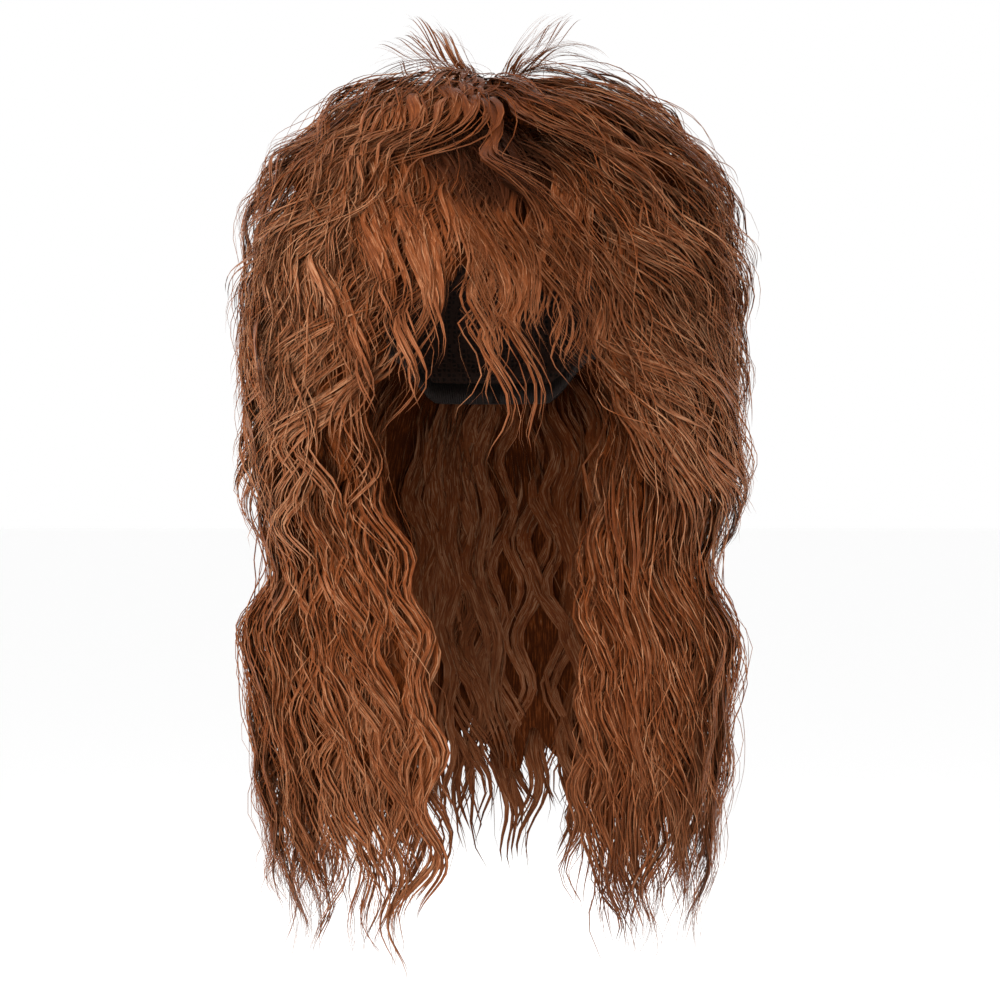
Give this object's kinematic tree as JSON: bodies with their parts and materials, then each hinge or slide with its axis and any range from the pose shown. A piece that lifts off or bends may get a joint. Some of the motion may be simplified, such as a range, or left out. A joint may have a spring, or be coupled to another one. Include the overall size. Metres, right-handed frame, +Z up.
{
  "type": "long shaggy mullet wig",
  "caption": "Shoulder-length shaggy mullet wig of crimped fibre: a full crown, a feathered fringe, layered sides and long wavy lengths on an open stretch cap.",
  "frame": {"origin": "inside of the cap at its top, where the crown of the head rests", "axes": "+Z up; the face looks along -Y; +X is the wearer's left"},
  "size_m": [0.3051, 0.2613, 0.5392],
  "materials": {
    "cap_net": "matte stretch net",
    "cap_elastic": "matte ribbed elastic",
    "hair": "crimped synthetic fibre, soft sheen"
  },
  "bodies": {
    "root": {"cap": "cap_net", "cap_band": "cap_elastic", "crown_layers": "hair", "fringe": "hair", "side_layers_right": "hair", "side_layers_left": "hair", "back_layers": "hair", "side_lengths_right": "hair", "side_lengths_left": "hair", "nape_lengths": "hair"}
  },
  "joints": []
}
